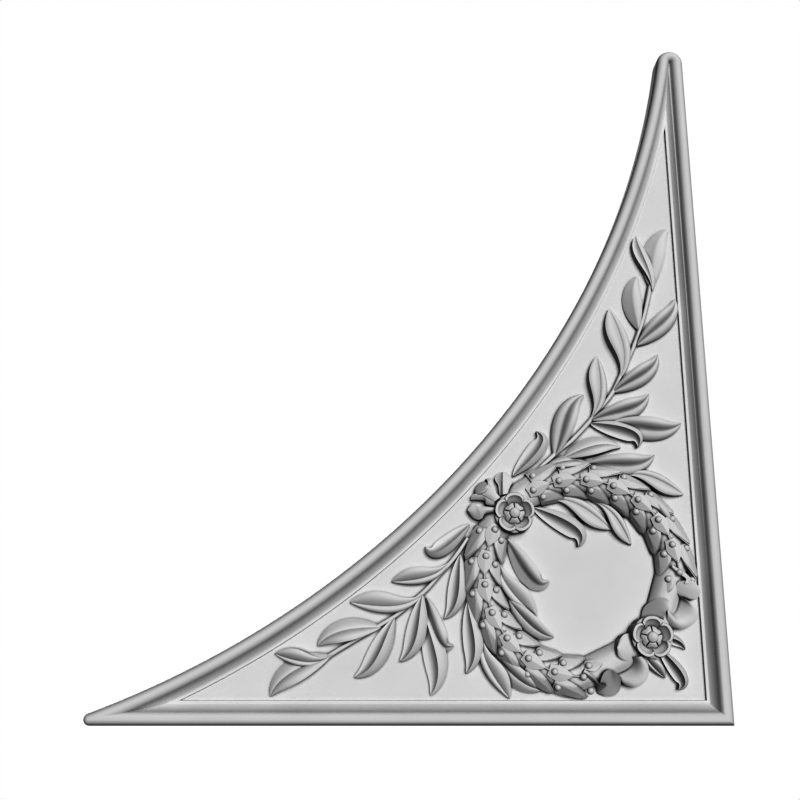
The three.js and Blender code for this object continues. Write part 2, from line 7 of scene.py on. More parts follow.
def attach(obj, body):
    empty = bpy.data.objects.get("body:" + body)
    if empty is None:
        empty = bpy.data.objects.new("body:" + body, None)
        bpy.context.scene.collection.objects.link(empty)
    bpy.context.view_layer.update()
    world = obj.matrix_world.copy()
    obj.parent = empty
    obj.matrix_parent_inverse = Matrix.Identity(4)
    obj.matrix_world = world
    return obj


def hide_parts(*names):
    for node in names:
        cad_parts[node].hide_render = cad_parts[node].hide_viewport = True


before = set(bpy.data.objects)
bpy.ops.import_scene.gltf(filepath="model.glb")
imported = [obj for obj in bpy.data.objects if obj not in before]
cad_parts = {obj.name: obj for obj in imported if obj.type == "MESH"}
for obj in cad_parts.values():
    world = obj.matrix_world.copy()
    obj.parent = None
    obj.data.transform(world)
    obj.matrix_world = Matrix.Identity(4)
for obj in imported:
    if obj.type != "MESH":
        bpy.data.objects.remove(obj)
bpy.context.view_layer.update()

# A carved wood corner applique. The carving is drawn flat in millimetres: x to the right and y up the panel,
# from behind the middle of the wreath, and heights out from the flat back. The board's face is the ground, and
# the walls of the forms on it run down to the root inside it.
MM = 0.001
MERGE_DISTANCE = 0.01
GROUND = 5.0
ROOT = 3.0

# Forms are shaded round, except where they turn by more than these degrees.
MOULDING_ARRIS = 30
RELIEF_ARRIS = 40
GARLAND_ARRIS = 14
BEAD_ARRIS = 50

# Outline of the whole piece.
WREATH_TO_RIGHT_EDGE = 81.3
WREATH_TO_BOTTOM_EDGE = 81.5
BOTTOM_LENGTH = 360.0
RIGHT_HEIGHT = 421.0
SWEEP_RADIUS = 534.0
LEFT_TIP_RADIUS = 3.3
TOP_TIP_RADIUS = 8.2
SWEEP_STEPS = 136
TIP_STEPS = 12

# Section of the frame, from its outer edge inwards.
OUTER_WALL = 10.7
BEAD_RADIUS = 3.8
STEEPEST_SLOPE = radians(65)
HOLLOW_RADIUS = 10.8
HOLLOW_END_SLOPE = radians(34)
FILLET_RADIUS = 2.2
LEDGE_WIDTH = 0.9
FRAME_ARRIS = 0.2
REBATE_LIP = 3.3
FIT_GAP = 0.3
BEAD_STEPS = 16
HOLLOW_STEPS = 8
FILLET_STEPS = 6

# Wreath. Its section goes by the angle over it, from the outer foot to the inner, and gives how far the surface
# lies outside the ring's radius and its height over the ground. Angles over it and round it are in degrees.
CREST = 90
INNER_FOOT = 180
RING_RADIUS = 55.5
RING_SECTION = [(0, 10.6, 0), (20, 10.6, 3.6), (38, 8.2, 5.9), (60, 5, 8.8), (90, 0, 9.6), (118, -4.4, 8.4),
                (140, -7.4, 5.6), (160, -9.6, 2.6), (180, -10, 0)]

# The core under the garland follows the ring from one angle to the other. From both, a straight bar runs to the
# corner by the lower rosette.
CORE_DEPTH = 0.8
BAR_CORNER = (33, -28.6)
BAR_FROM = 9.5
BAR_TO = 266.5
CORE_ACROSS = 16
CORE_SPOKES = 96

# The garland's berries and leaves are counted both ways from the diagonal by the upper rosette.
DIAGONAL = 135
BERRY_STEP = 16.6
BERRIES_PER_ROW = 8
BERRY_RADIUS = 2.0
BERRY_LIFT = 1.0

# Rosettes. The first of the five petals points up, and inner petals and sepals sit at the gaps. Depths are from
# the rosette's top.
UPPER_ROSETTE = (-37.5, 35.5)
LOWER_ROSETTE = (37.5, -34)
ROSETTE_RADIUS = 11.8
ROSETTE_HEIGHT = 14.6
PETALS = 5
PETAL_TURN = 72
FIRST_PETAL = 90
PETAL_CUP = 5.2
INNER_PETAL_DEPTH = 1.6
SEPAL_DEPTH = 2.2
BUTTON_RADIUS = 3.1
BUTTON_DEPTH = 1.4

# Kinds of leaf. The midrib is a curve from base to tip, with bow and lean as its control points in shares of the
# leaf's length, and stands at three heights over the ground at its base, middle and tip. Each half of a leaf runs
# from the midrib's groove to its rim: its width and where that is widest as shares of the leaf's length, then how
# far the rim stands over the groove, and the slopes at the groove and at the rim, in millimetres for the half's
# width. The near half is on the side to which the midrib doesn't bow.
LEAF_KINDS = {
    "ridge": dict(bow=(0.25, -0.2), lean=(0.6, -0.12), heights=(2.8, 5.4, 3),
                  near=(0.182, 0.69, 2.5, 8, -4.5), far=(0.094, 0.56, -0.8, 2.4, -6)),
    "channel": dict(bow=(0.33, -0.03), lean=(0.72, -0.24), heights=(3.6, 8.2, 3.2),
                    near=(0.158, 0.53, -4.5, -15.5, 0.3), far=(0.133, 0.47, -3.8, -2.6, -6.5)),
    "lapped": dict(bow=(0.33, -0.03), lean=(0.72, -0.24), heights=(3, 6.2, 3.2),
                   near=(0.165, 0.53, 4.2, 19, -5.5), far=(0.138, 0.47, -4.4, -4, -12)),
    "open": dict(bow=(0.3, -0.08), lean=(0.72, -0.2), heights=(3, 5.8, 2.6),
                 near=(0.166, 0.52, 4, 13, -2), far=(0.16, 0.51, -4.2, 0, -6.5)),
    "folded": dict(bow=(0.3, -0.08), lean=(0.72, -0.2), heights=(2.8, 5.6, 2.4),
                   near=(0.166, 0.52, -1.2, 1.5, -5), far=(0.16, 0.51, -4.8, -5, -6)),
    "slim": dict(bow=(0.3, -0.1), lean=(0.75, 0.06), heights=(3.2, 5.8, 3.6),
                 near=(0.115, 0.66, -1.6, -6, 1), far=(0.105, 0.42, -2, -1, -6)),
    "hook": dict(bow=(0.33, -0.12), lean=(1.02, -0.4), heights=(3.4, 8.8, 5.4),
                 near=(0.203, 0.49, -5, -17.5, 0.5), far=(0.13, 0.55, -3.6, -3, -5)),
    "scoop": dict(bow=(0.33, -0.12), lean=(1.02, -0.4), heights=(2.8, 4.4, 3.6),
                  near=(0.203, 0.49, 4.6, 19, -2), far=(0.13, 0.55, -3.4, -3.6, -3.6)),
}

# Each leaf: its kind, base, tip, whether its near half is turned to the right of that way, and how far it is
# raised over its neighbours.
UPPER_LEAVES = [
    ("folded", (52.5, 176), (65.5, 216), True, 0),
    ("slim", (52.3, 174), (44.5, 210.5), False, 1),
    ("folded", (43, 149), (44.5, 184.5), True, 0),
    ("lapped", (41, 139), (66.5, 169.5), False, 0),
    ("ridge", (28, 116), (25.5, 163), False, 0),
    ("lapped", (25, 109.5), (53.5, 133.5), False, 0),
    ("ridge", (9, 92), (16.5, 132.5), False, 0),
    ("lapped", (21, 90.5), (65, 90.5), False, -0.6),
    ("lapped", (11, 92), (46.5, 108.5), False, 0.8),
    ("hook", (10, 90.5), (37.5, 75.5), True, 0),
    ("lapped", (-12, 70), (7.5, 108), True, 0),
    ("hook", (-37, 58), (-22.5, 85), False, 0),
    ("open", (-7, 69), (28, 75.5), True, 0),
    ("open", (-18, 64), (8.5, 65), True, 0),
]
LEFT_LEAVES = [
    ("open", (-142, -44), (-176.5, -66.5), False, 0),
    ("ridge", (-141.5, -43.5), (-174.5, -43), True, 1),
    ("open", (-114, -28.5), (-150.5, -39), False, 0),
    ("channel", (-106.5, -23), (-129.5, -56), True, 0),
    ("ridge", (-89.5, -9), (-132.5, -14.5), True, 0),
    ("channel", (-89.5, -20), (-86.5, -66), True, -0.8),
    ("channel", (-90.5, -10), (-104, -47.5), True, 0.6),
    ("ridge", (-74.5, 9.5), (-108.5, -3), True, 0),
    ("scoop", (-88.5, -12), (-73, -38.5), False, 0),
    ("hook", (-62.5, 30), (-89, 17), True, 0),
    ("channel", (-68.5, 13), (-78.5, -24), True, 0),
]
WREATH_LEAVES = [
    ("lapped", (5.5, 65), (47.5, 71), False, 1),
    ("lapped", (35.5, 52), (59, 27.5), False, -0.8),
    ("ridge", (27.5, 58), (63.5, 47.5), True, 0),
    ("channel", (-65, -14), (-66.5, -54), True, 1),
    ("ridge", (-56, -31), (-42, -67.5), False, 0),
    ("open", (-51.5, -42), (-23, -62.5), False, -0.8),
    ("scoop", (-42, 22), (-17.5, -2.5), False, 0),
    ("ridge", (-46.5, 12), (-25.5, -23), False, 0),
    ("open", (-41.5, -13), (-16, -34), False, 0),
    ("hook", (-26, 40), (-0.5, 17), True, 0),
    ("ridge", (-17, 44), (20, 27), True, 0),
    ("ridge", (9, 43.5), (31, 18), True, -0.8),
    ("channel", (40, -32), (58, -41), True, 0),
    ("hook", (43, -40), (52, -62.5), True, 0),
    ("ridge", (34, -38), (46, -56.5), False, -1),
]
UPPER_STEM = [(-24, 60), (-10, 73), (0, 81), (10.5, 92), (18.5, 101.5), (25.5, 110.5), (32, 123.5), (39, 138),
              (44, 150), (49, 166), (52, 178)]
LEFT_STEM = [(-64, 22), (-72.5, 10), (-80, 2), (-88, -7), (-96, -14), (-106, -22), (-115, -27.5), (-128, -35),
             (-140, -42), (-144.5, -45)]
STEM_WIDTH = 3.0
STEM_HEIGHT = 3.8
STEM_ROUNDING = 1.6
LEAF_FULLNESS = 0.8
LEAF_LEAST_HEIGHT = 0.5

# Rows of the garland. A leaf's low edge, crease, high edge and tip are angles over the ring's section. It begins
# and ends by angles round the ring past its berry. Each side narrows to the tip from a share of the length, with
# a power that says how full it stays.
GARLAND_ROWS = [
    dict(low=3, crease=58, high=77, tip=30, start=-2.5, length=17.4, low_end=(0.72, 2.4), high_end=(0.3, 1.1),
         first_berry=21, berry_over=47, leaves=7),
    dict(low=177, crease=141, high=104, tip=150, start=-2.5, length=17.2, low_end=(0.72, 2.4), high_end=(0.3, 1.1),
         first_berry=21, berry_over=125, leaves=8),
    dict(low=66, crease=90, high=114, tip=90, start=-3.4, length=13.4, low_end=(0.42, 1.8), high_end=(0.42, 1.8),
         first_berry=17, berry_over=CREST, leaves=7),
]
# The layer under each leaf is longer, in degrees, and lower. A stalk spreads both ways over the section.
LOWER_SCALE = dict(longer=0.9, lower=0.45)
STALK_SPREAD = 3.2

# Ribbons, each as a band between two edges, with how far it bulges between them. An edge's points are x, y and the
# height over the ground.
BOW_BANDS = [
    ([(-45.4, 46.2, 6.5), (-45.7, 49.9, 6.5), (-46, 52.6, 6), (-47.6, 55.7, 5), (-47.4, 57.8, 5), (-45.2, 60.2, 6)],
     [(-43.6, 46.3, 9), (-43.5, 51.3, 8.5), (-43.3, 55.9, 8), (-43, 59.9, 7.5)], -0.4),
    ([(-44, 46.3, 10.5), (-43.9, 51.3, 10.5), (-43.7, 55.9, 10), (-43.4, 60, 9)],
     [(-40.6, 46.6, 10), (-40.3, 49.1, 10), (-38.8, 52.1, 9.5), (-37.7, 54.7, 9), (-38.7, 57.1, 8.5),
      (-41.9, 60.1, 8.5)], 0.4),
    ([(-49, 42, 9.5), (-53.3, 45.3, 9.5), (-57.2, 47.2, 8.5)],
     [(-45.1, 44.8, 10), (-47.8, 48, 10.5), (-50.4, 54.3, 10.5)], 0.7),
    ([(-53, 49, 9.5), (-52.4, 53.5, 10.5), (-53.3, 56, 8)],
     [(-47.6, 48, 10), (-49, 53, 10), (-49.5, 57, 8)], 0.5),
    ([(-48.8, 39.7, 8), (-53.3, 41.1, 7), (-54.6, 43.3, 6.5), (-58.4, 43.9, 6), (-62.1, 44, 5)],
     [(-48.6, 43, 9.5), (-52, 45, 9), (-55, 46.8, 8.5), (-59.3, 47.4, 7.5), (-61.7, 46.8, 6)], 0.5),
    ([(-48.4, 36.3, 9), (-53.9, 35.5, 8.5), (-55.9, 32.9, 7.5), (-58.3, 32.2, 6.5), (-61.7, 34, 5.5),
      (-64.1, 37, 5)],
     [(-48.4, 39.2, 9), (-53.3, 39.7, 9), (-58.2, 40, 8), (-59.8, 41.6, 7), (-62.3, 41.6, 6), (-64.2, 38.9, 5)],
     1.4),
]
TAIL_BANDS = [
    ([(34.2, -24, 2.5), (35.4, -18.3, 3.5), (39, -14.4, 6), (43.5, -12.4, 9), (47.3, -13.2, 11)],
     [(44.5, -27, 9), (45, -22.5, 11.5), (46, -20, 13), (47.5, -17.5, 13.4), (49, -15.5, 12.5)], 0.8),
    ([(46.8, -14.5, 10.5), (48.7, -18.5, 8), (51, -20, 4), (52.7, -18.3, 2), (54.3, -15.3, 1.5),
      (55.5, -12.7, 1.5), (55.5, -11, 2)],
     [(47.5, -27, 6), (52, -29.3, 6.5), (56.5, -29.6, 7), (60.8, -27.8, 7.5), (64.3, -24.8, 8),
      (65.2, -21.3, 8.5), (63.7, -17.8, 8.5), (59.5, -13.5, 8)], 2.8),
    ([(58.5, -13.2, 5), (54.3, -9.7, 6.5), (53.8, -5.7, 8), (55, -3.3, 9), (57.6, -2.7, 10)],
     [(60, -12.9, 7), (63.9, -13.5, 8.5), (66.3, -11.2, 9.5), (67, -8.7, 10), (65.9, -5.7, 10), (63, -2.9, 10)],
     0.3),
    ([(58, -4.5, 10.5), (59, -1.8, 10.3), (54.8, 1.2, 10.8), (50.7, 4.9, 11.5)],
     [(64.5, -4, 8.5), (60.4, 0.7, 9.5), (56.1, 3.4, 10.6), (51.8, 5.8, 11.5)], 0.4),
    ([(28.8, -45.2, 7), (24.4, -46.7, 9), (20.7, -46.1, 10.5), (17.9, -44, 11), (17.2, -41, 11)],
     [(28.5, -32.5, 6), (25, -31.9, 8), (22, -32.8, 9.5), (19.5, -35.2, 10.5), (17.6, -38.6, 11)], 1.8),
    ([(33.1, -44, 9), (35.1, -50, 9.5), (34.5, -55.3, 9), (31.7, -59.2, 8.5), (27.2, -61.3, 7.5), (22.6, -60.6, 5),
      (19.9, -58.2, 3.5)],
     [(26.5, -45, 9), (26.4, -47.4, 5), (25.4, -50, 3), (22.2, -51.8, 2), (18.5, -53, 1.5), (17.5, -53.8, 1)],
     2.8),
    ([(20.5, -61.4, 1.5), (19, -64, 1), (16.5, -65.9, 0.8), (11.8, -66.3, 0.8), (7.5, -64.8, 1)],
     [(19.5, -55.8, 10.5), (15.4, -53, 13.6), (12.3, -51.5, 14), (9.1, -53.3, 13.2), (7.6, -57.6, 10.5)], 0.3),
    ([(7.5, -64.8, 1), (5.9, -60.2, 6.5), (1.4, -56, 9), (-2.1, -53.3, 10.6)],
     [(11.5, -60, 10), (7.6, -59.2, 10.5), (4.4, -55.8, 11), (-0.9, -51.3, 11)], 0.4),
]
BOW_ROLL = dict(middle=(-55.8, 50.9), along=4.8, across=3.1, turned=45, low=3, high=11)
ROLL_DOME = 1.2

# Steps of the grids that the forms are laid on, across and along.
LEAF_GRID = (16, 26)
SCALE_GRID = (8, 18)
STALK_GRID = (4, 4)
FLOWER_GRID = (150, 30)
INNER_PETAL_GRID = (10, 10)
SEPAL_GRID = (8, 8)
BUTTON_GRID = (20, 8)
BAND_GRID = (12, 28)
ROLL_GRID = (24, 8)
STEM_ACROSS = 8
STEM_PER_POINT = 6
LOOK_AHEAD = 0.001

# Paint, and the painted shade that darkens its creases and corners, in metres where they have a size.
DARKER_PAINT = 0.39
LIGHTER_PAINT = 0.42
# The near-black grey of the painted shade in creases and corners, and how far from a corner it reaches.
PAINTED_SHADE_GREY = 0.06
PAINTED_SHADE_REACH = 0.0022
BRUSH_DEPTH = 0.0002

# Camera and light. The lights' ways lead from the piece to the light.
CAMERA_PLACE = (-0.1035, -0.5727, -0.0356)
CAMERA_TILT = 13.96
FIELD_OF_VIEW = 45
FRONT_WAY = (0.19, -1, 0.19)
BACK_WAY = (-0.2, 1, 0.4)
WORLD_STRENGTH = 0.005
GAMMA = 0.36
FLOOR_PLACE = (-0.1, -0.2, -0.6)
FLOOR_GREY = 0.8
FLOOR_GLOW = 0.55


def on_wall(x, y, height):
    """A place of the drawing, stood against the wall."""
    return Vector((x * MM, -height * MM, y * MM))


def editing(*steps):
    """Runs steps on all of the active piece's mesh in edit mode."""
    bpy.ops.object.mode_set(mode="EDIT")
    bpy.ops.mesh.select_mode(type="VERT")
    bpy.ops.mesh.select_all(action="SELECT")
    for step in steps:
        step()
    bpy.ops.object.mode_set(mode="OBJECT")


def merge_points():
    bpy.ops.mesh.remove_doubles(threshold=MERGE_DISTANCE * MM)


def face_outwards():
    bpy.ops.mesh.select_all(action="SELECT")
    bpy.ops.mesh.normals_make_consistent(inside=False)


def sink_rim():
    """Walls from the rim straight down into the board."""
    bpy.ops.mesh.region_to_loop()
    bpy.ops.mesh.extrude_region_move()
    bpy.ops.transform.resize(value=(1, 0, 1), center_override=on_wall(0, 0, ROOT))


def close_root():
    sink_rim()
    bpy.ops.mesh.edge_face_add()


def bridge_root():
    sink_rim()
    bpy.ops.mesh.bridge_edge_loops()


def draped(name, across, along, shape, *finish):
    """A grid laid on shape(u, v): u goes from -1 to 1 across the form and v from 0 to 1 along it."""
    bpy.ops.object.select_all(action="DESELECT")
    bpy.ops.mesh.primitive_grid_add(x_subdivisions=across, y_subdivisions=along, size=2)
    piece = bpy.context.object
    piece.name = name
    for vertex in piece.data.vertices:
        vertex.co = on_wall(*shape(vertex.co.x, (vertex.co.y + 1) / 2))
    editing(merge_points, *finish, face_outwards)
    return piece


def carved(name, across, along, shape):
    return draped(name, across, along, shape, close_root)


def turned_copy(piece, middle, degrees):
    twin = piece.copy()
    twin.data = piece.data.copy()
    bpy.context.collection.objects.link(twin)
    pivot = Matrix.Translation(on_wall(*middle, 0))
    twin.data.transform(pivot @ Matrix.Rotation(radians(-degrees), 4, "Y") @ pivot.inverted())
    return twin


def choose(pieces):
    bpy.ops.object.select_all(action="DESELECT")
    for piece in pieces:
        piece.select_set(True)
    bpy.context.view_layer.objects.active = pieces[0]


def smoothed(pieces, steepest):
    """Rounds all but the arrises, which turn by more than the angle."""
    choose(pieces)
    bpy.ops.object.shade_smooth_by_angle(angle=radians(steepest))
    return pieces


def joined(name, pieces):
    choose(pieces)
    bpy.ops.object.join()
    piece = bpy.context.object
    piece.name = name
    piece.data.name = name
    return piece


def between(a, b, share):
    return a + (b - a) * share


def through(points, share):
    """A place on the smooth curve through the points."""
    last = len(points) - 1
    i = min(int(share * last), last - 1)
    t = share * last - i
    p = [Vector(points[min(max(i + k, 0), last)]) for k in (-1, 0, 1, 2)]
    return 0.5 * (2 * p[1] + (p[2] - p[0]) * t + (2 * p[0] - 5 * p[1] + 4 * p[2] - p[3]) * t ** 2
                  + (3 * p[1] - p[0] - 3 * p[2] + p[3]) * t ** 3)


# The outline: the sweep's centre is where both rounded tips touch it.
CORNER = (WREATH_TO_RIGHT_EDGE, -WREATH_TO_BOTTOM_EDGE)
LEFT_TIP = (CORNER[0] - BOTTOM_LENGTH + LEFT_TIP_RADIUS, CORNER[1] + LEFT_TIP_RADIUS)
TOP_TIP = (CORNER[0] - TOP_TIP_RADIUS, CORNER[1] + RIGHT_HEIGHT - TOP_TIP_RADIUS)


def find_sweep_centre():
    reach_left, reach_top = SWEEP_RADIUS + LEFT_TIP_RADIUS, SWEEP_RADIUS + TOP_TIP_RADIUS
    dx, dy = TOP_TIP[0] - LEFT_TIP[0], TOP_TIP[1] - LEFT_TIP[1]
    apart = hypot(dx, dy)
    along = (apart ** 2 + reach_left ** 2 - reach_top ** 2) / (2 * apart)
    aside = sqrt(reach_left ** 2 - along ** 2)
    return (LEFT_TIP[0] + (dx * along - dy * aside) / apart, LEFT_TIP[1] + (dy * along + dx * aside) / apart)


SWEEP_CENTRE = find_sweep_centre()


def tip_arc(centre, tip_radius, inset, start, sharp):
    radius = tip_radius - inset
    if radius <= 0:
        return [sharp] * (TIP_STEPS + 1)
    end = atan2(SWEEP_CENTRE[1] - centre[1], SWEEP_CENTRE[0] - centre[0]) % (2 * pi)
    turns = [start + (end - start) * i / TIP_STEPS for i in range(TIP_STEPS + 1)]
    return [(centre[0] + radius * cos(turn), centre[1] + radius * sin(turn)) for turn in turns]


def outline_at(inset):
    """The outline moved inwards by a distance, always with the same number of points."""
    right, bottom = CORNER[0] - inset, CORNER[1] + inset
    radius = SWEEP_RADIUS + inset
    across = sqrt(max(0.0, radius ** 2 - (SWEEP_CENTRE[1] - bottom) ** 2))
    up = sqrt(max(0.0, radius ** 2 - (right - SWEEP_CENTRE[0]) ** 2))
    sharp_left, sharp_top = (SWEEP_CENTRE[0] + across, bottom), (right, SWEEP_CENTRE[1] - up)
    top = tip_arc(TOP_TIP, TOP_TIP_RADIUS, inset, 0, sharp_top)
    left = tip_arc(LEFT_TIP, LEFT_TIP_RADIUS, inset, 1.5 * pi, sharp_left)[::-1]
    start, end = [atan2(p[1] - SWEEP_CENTRE[1], p[0] - SWEEP_CENTRE[0]) for p in (top[-1], left[0])]
    turns = [start + (end - start) * i / SWEEP_STEPS for i in range(1, SWEEP_STEPS)]
    sweep = [(SWEEP_CENTRE[0] + radius * cos(turn), SWEEP_CENTRE[1] + radius * sin(turn)) for turn in turns]
    return [(right, bottom), *top, *sweep, *left]


def frame_section():
    """Bead, hollow and ledge as inset and height, then the step, the rebate's lip and the back."""
    turns = [(pi / 2 + STEEPEST_SLOPE) * i / BEAD_STEPS for i in range(BEAD_STEPS + 1)]
    section = [(BEAD_RADIUS * (1 - cos(turn)), OUTER_WALL + BEAD_RADIUS * sin(turn)) for turn in turns]
    for radius, steep, shallow, steps in ((HOLLOW_RADIUS, STEEPEST_SLOPE, HOLLOW_END_SLOPE, HOLLOW_STEPS),
                                          (FILLET_RADIUS, HOLLOW_END_SLOPE, 0, FILLET_STEPS)):
        inset, height = section[-1]
        slopes = [steep + (shallow - steep) * (i + 1) / steps for i in range(steps)]
        section += [(inset + radius * (sin(steep) - sin(slope)), height - radius * (cos(slope) - cos(steep)))
                    for slope in slopes]
    inset, ledge = section[-1]
    field = inset + LEDGE_WIDTH
    lip = GROUND + FIT_GAP
    step = [(field - FRAME_ARRIS, ledge), (field, ledge - FRAME_ARRIS), (field, lip)]
    return [(FRAME_ARRIS, 0), (0, FRAME_ARRIS), *section, *step, (field - REBATE_LIP, lip), (field - REBATE_LIP, 0)]


SECTION = frame_section()
REBATE_INSET = SECTION[-1][0]


def make_moulding():
    rings = [outline_at(inset) for inset, _ in SECTION]
    rounds, sections = len(rings[0]), len(SECTION)

    def shape(u, v):
        j = round((u + 1) / 2 * sections) % sections
        i = round(v * rounds) % rounds
        return (*rings[j][i], SECTION[j][1])
    return joined("moulded_frame", smoothed([draped("moulding", sections, rounds, shape)], MOULDING_ARRIS))


def make_board():
    outline = outline_at(REBATE_INSET + FIT_GAP)
    bpy.ops.object.select_all(action="DESELECT")
    bpy.ops.mesh.primitive_circle_add(vertices=len(outline), radius=1, fill_type="NGON")
    board = bpy.context.object
    for vertex, (x, y) in zip(board.data.vertices, outline):
        vertex.co = on_wall(x, y, GROUND)

    def thicken():
        bpy.ops.mesh.extrude_region_move(TRANSFORM_OT_translate={"value": (0, GROUND * MM, 0)})
    editing(merge_points, thicken, face_outwards)
    return board


def swell(s, widest):
    """A leaf's half width as a share of its widest, along its length."""
    return max(0.0, sin(pi * s ** (log(0.5) / log(widest)))) ** LEAF_FULLNESS if 0 < s < 1 else 0.0


def half_section(t, rise, first, last):
    """Height over the midrib's groove, from the groove to the rim, for the slopes at both."""
    return rise * (3 * t ** 2 - 2 * t ** 3) + first * (t - 2 * t ** 2 + t ** 3) + last * (t ** 3 - t ** 2)


def midrib_at(kind, s):
    """A place on the midrib and the way along it, as shares of the leaf's length."""
    p = [Vector(q) for q in ((0, 0), kind["bow"], kind["lean"], (1, 0))]
    m = 1 - s
    place = p[1] * (3 * m * m * s) + p[2] * (3 * m * s * s) + p[3] * s ** 3
    way = (p[1] - p[0]) * (m * m) + (p[2] - p[1]) * (2 * m * s) + (p[3] - p[2]) * (s * s)
    return place, way.normalized()


def make_leaf(kind_name, base, tip, turned, raised):
    kind = LEAF_KINDS[kind_name]
    hand = -1 if turned else 1
    dx, dy = tip[0] - base[0], tip[1] - base[1]
    low, middle, end = kind["heights"]
    bent = 2 * middle - (low + end) / 2

    def shape(u, v):
        place, way = midrib_at(kind, v)
        width, widest, rise, first, last = kind["near" if u > 0 else "far"]
        share = swell(v, widest)
        out = u * width * share
        x, y = place[0] - way[1] * out, place[1] + way[0] * out
        height = low * (1 - v) ** 2 + bent * 2 * v * (1 - v) + end * v ** 2 + raised
        height += share * half_section(abs(u), rise, first, last)
        return (base[0] + dx * x - dy * y * hand, base[1] + dy * x + dx * y * hand,
                GROUND + max(height, LEAF_LEAST_HEIGHT))
    return carved("leaf", *LEAF_GRID, shape)


def make_stem(points):
    def shape(u, v):
        v = min(v, 1 - LOOK_AHEAD)
        here, ahead = through(points, v), through(points, v + LOOK_AHEAD)
        way = (ahead - here).normalized()
        out = u * STEM_WIDTH / 2
        height = GROUND + STEM_HEIGHT - STEM_ROUNDING * u ** 4
        return (here[0] - way[1] * out, here[1] + way[0] * out, height)
    return carved("stem", STEM_ACROSS, STEM_PER_POINT * len(points), shape)


def on_ring(around, over, out=0.0):
    """A place on the wreath, by its angle round the ring and its angle over the ring's section."""
    over = min(max(over, 0), INNER_FOOT)
    i = next(i for i in range(len(RING_SECTION) - 1) if over <= RING_SECTION[i + 1][0])
    start, end = RING_SECTION[i:i + 2]
    _, aside, height = [between(a, b, (over - start[0]) / (end[0] - start[0])) for a, b in zip(start, end)]
    reach = RING_RADIUS + aside + out * cos(radians(over))
    return (reach * cos(radians(around)), reach * sin(radians(around)),
            GROUND + max(0.0, height + out * sin(radians(over))))


def make_core():
    """The ring's core: half round on most of the way, and two straight bars by the lower rosette."""
    reach_to_corner = hypot(*BAR_CORNER)
    corner_turn = atan2(BAR_CORNER[1], BAR_CORNER[0])

    def shape(u, v):
        over = INNER_FOOT * (1 - u) / 2
        i = round(v * (CORE_SPOKES + 2)) % (CORE_SPOKES + 2)
        if i > CORE_SPOKES:
            x, _, height = on_ring(0, over, -CORE_DEPTH)
            reach = reach_to_corner + x - on_ring(0, INNER_FOOT)[0]
            return (reach * cos(corner_turn), reach * sin(corner_turn), height)
        return on_ring(BAR_FROM + (BAR_TO - BAR_FROM) * i / CORE_SPOKES, over, -CORE_DEPTH)
    return draped("core", CORE_ACROSS, CORE_SPOKES + 2, shape, bridge_root)


def scale_shape(row, side, longer=0.0, lower=0.0):
    """One leaf of the garland, creased along its middle, lying on the ring and lifted at its pointed tip."""
    neck, neck_end = 0.75, 0.35
    root_lift, tip_lift, crown = 0.5, 1.4, 0.9

    def shape(u, v):
        turn = DIAGONAL + side * (row["first_berry"] + row["start"] + (row["length"] + longer) * v)
        edge = row["high"] if u > 0 else row["low"]
        narrows, power = row["high_end"] if u > 0 else row["low_end"]
        past = max(0.0, (v - narrows) / (1 - narrows))
        spread = (1 - past ** power) * between(neck, 1, min(v / neck_end, 1))
        middle = between(row["crease"], row["tip"], v ** 2)
        over = middle + (edge - middle) * abs(u) * spread
        lift = root_lift + tip_lift * v + crown * (1 - abs(u)) * sin(pi * v ** 0.7)
        return on_ring(turn, over, lift - lower)
    return shape


def stalk_shape(row, side):
    """The short stalk from a leaf's tip to the next berry."""
    lift = dome = 0.4

    def shape(u, v):
        ahead = between(row["start"] + row["length"], BERRY_STEP - 1, v)
        x, y, height = on_ring(DIAGONAL + side * (row["first_berry"] + ahead), row["tip"] + STALK_SPREAD * u, lift)
        return (x, y, height + dome * (1 - u * u))
    return shape


def berry_at(turn, over):
    place = on_ring(turn, over, BERRY_LIFT)
    bpy.ops.object.select_all(action="DESELECT")
    bpy.ops.mesh.primitive_uv_sphere_add(segments=14, ring_count=9, radius=BERRY_RADIUS * MM,
                                         location=on_wall(*place))
    bpy.ops.object.transform_apply()
    return bpy.context.object


def make_garland():
    forms = []
    for row in GARLAND_ROWS:
        for side in (1, -1):
            leaves = [carved("scale", *SCALE_GRID, scale_shape(row, side)),
                      carved("scale_below", *SCALE_GRID, scale_shape(row, side, **LOWER_SCALE))]
            berry = berry_at(DIAGONAL + side * row["first_berry"], row["berry_over"])
            smoothed(leaves, GARLAND_ARRIS)
            smoothed([berry], BEAD_ARRIS)
            if row["berry_over"] == CREST:
                leaves += smoothed([carved("stalk", *STALK_GRID, stalk_shape(row, side))], BEAD_ARRIS)
            forms += [berry, *leaves]
            for i in range(1, BERRIES_PER_ROW):
                forms.append(turned_copy(berry, (0, 0), side * BERRY_STEP * i))
                if i < row["leaves"]:
                    forms += [turned_copy(leaf, (0, 0), side * BERRY_STEP * i) for leaf in leaves]
    return forms


def cup_height(from_edge, depth):
    """Height of a petal under its rolled rim, by the distance inwards from its edge in millimetres."""
    roll, rim, step, fall = 0.4, 1.9, 0.6, 3.8
    if from_edge < roll:
        return -0.9 * (1 - from_edge / roll) ** 2
    under = min(max((from_edge - rim) / step, 0), 1)
    down = min(max((from_edge - rim - step) / fall, 0), 1)
    return -0.22 * depth * under - 0.78 * depth * (1 - (1 - down) ** 1.2)


